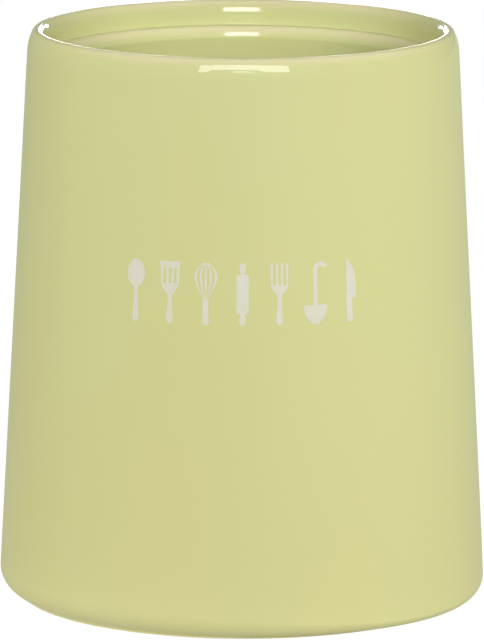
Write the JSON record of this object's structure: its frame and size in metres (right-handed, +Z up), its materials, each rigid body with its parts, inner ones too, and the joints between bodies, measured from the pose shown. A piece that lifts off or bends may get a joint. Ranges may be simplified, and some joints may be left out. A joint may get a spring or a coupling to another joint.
{
  "type": "utensil crock",
  "caption": "Open glazed ceramic crock with a straight tapering wall, rounded rim, lid gallery inside the mouth and a bare foot ring, for standing kitchen utensils.",
  "frame": {"origin": "centre of the circle on which the foot ring stands", "axes": "+Z up along the crock's axis; the front, with the decoration, faces -Y"},
  "size_m": [0.132, 0.132, 0.155],
  "materials": {
    "glaze": "gloss pale yellow-green glaze, the foot ring left bare"
  },
  "bodies": {
    "root": {"crock_body": "glaze"}
  },
  "joints": []
}
